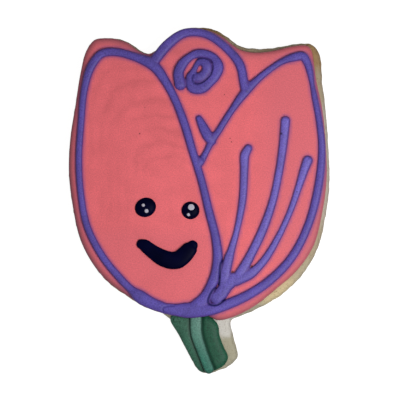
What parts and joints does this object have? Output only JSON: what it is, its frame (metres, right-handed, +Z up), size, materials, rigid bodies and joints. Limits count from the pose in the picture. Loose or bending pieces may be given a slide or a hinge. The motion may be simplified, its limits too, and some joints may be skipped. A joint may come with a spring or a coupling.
{
  "type": "iced sugar cookie",
  "caption": "Flat tulip-shaped biscuit with coral and green flood icing, piped purple petal outlines, veins and a spiral, and a simple smiling face.",
  "frame": {"origin": "middle of the cookie's plan, on the flat underside it lies on", "axes": "+Z up out of the iced face, +Y from the stem to the petal tips, +X to the right seen from above"},
  "size_m": [0.0756, 0.1001, 0.0096],
  "materials": {
    "biscuit": null,
    "coral_icing": "set royal icing, satin",
    "purple_icing": "piped royal icing, satin",
    "dark_green_icing": "set royal icing, satin",
    "light_green_icing": "piped royal icing, satin",
    "dark_icing": "near-black blue icing, softly glossy"
  },
  "bodies": {
    "root": {"biscuit": "biscuit", "petal_icing": "coral_icing", "stem_icing": "dark_green_icing", "stem_stripe": "light_green_icing", "right_petal_line": "purple_icing", "left_petal_line": "purple_icing", "centre_petal_line": "purple_icing", "bud_fold_line": "purple_icing", "rose_spiral": "purple_icing", "petal_veins": "purple_icing", "smile": "dark_icing", "eye_left": "dark_icing", "eye_right": "dark_icing"}
  },
  "joints": []
}
